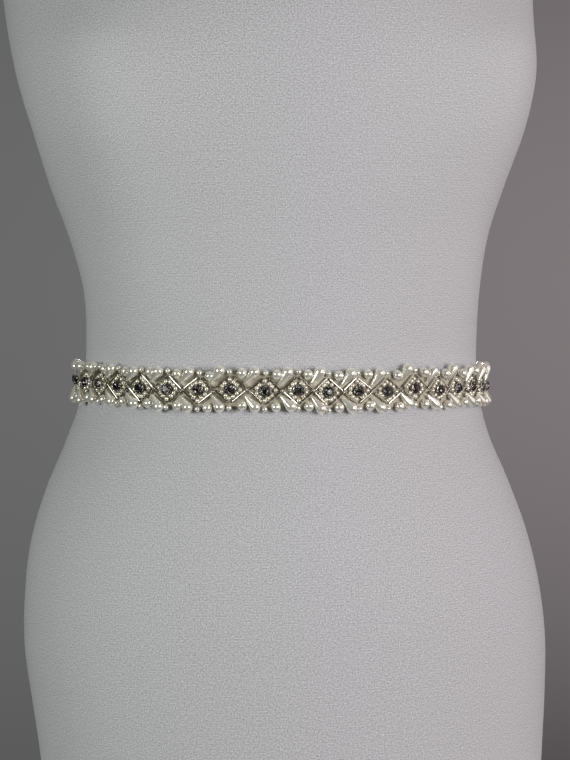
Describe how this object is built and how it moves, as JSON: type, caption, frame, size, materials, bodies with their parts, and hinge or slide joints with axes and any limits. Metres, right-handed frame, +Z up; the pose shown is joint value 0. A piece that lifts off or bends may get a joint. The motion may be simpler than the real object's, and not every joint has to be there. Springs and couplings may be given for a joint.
{
  "type": "bridal sash on a dress form",
  "caption": "Satin ribbon bridal sash with a row of pearl drops, bugle-bead diamonds and smoky stones, worn round the waist of a limbless jersey covered dress form.",
  "frame": {"origin": "on the flat underside of the dress form, where its axis meets it", "axes": "+Z up the form, +Y from front to back, +X towards the form's left side"},
  "size_m": [0.34, 0.2465, 0.755],
  "materials": {
    "jersey": "fine matt knit",
    "satin": "ivory satin weave",
    "pearl": "pearl lustre",
    "silver_bead": "silver-lined glass",
    "smoky_stone": "faceted, polished",
    "silver_setting": "polished"
  },
  "bodies": {
    "root": {"dress_form": "jersey", "ribbon": "satin", "motif_01": "pearl", "motif_02": "pearl", "motif_03": "pearl", "motif_04": "pearl", "motif_05": "pearl", "motif_06": "pearl", "motif_07": "pearl", "motif_08": "pearl", "motif_09": "pearl", "motif_10": "pearl", "motif_11": "pearl", "motif_12": "pearl", "motif_13": "pearl", "motif_14": "pearl", "motif_15": "pearl", "motif_16": "pearl", "motif_17": "pearl", "motif_18": "pearl", "motif_19": "pearl", "motif_20": "pearl", "motif_21": "pearl", "motif_22": "pearl", "stone_01": "smoky_stone", "stone_02": "smoky_stone", "stone_03": "smoky_stone", "stone_04": "smoky_stone", "stone_05": "smoky_stone", "stone_06": "smoky_stone", "stone_07": "smoky_stone", "stone_08": "smoky_stone", "stone_09": "smoky_stone", "stone_10": "smoky_stone", "stone_11": "smoky_stone", "stone_12": "smoky_stone", "stone_13": "smoky_stone", "stone_14": "smoky_stone", "stone_15": "smoky_stone", "stone_16": "smoky_stone", "stone_17": "smoky_stone", "stone_18": "smoky_stone", "stone_19": "smoky_stone", "stone_20": "smoky_stone", "stone_21": "smoky_stone", "stone_22": "smoky_stone"}
  },
  "joints": []
}
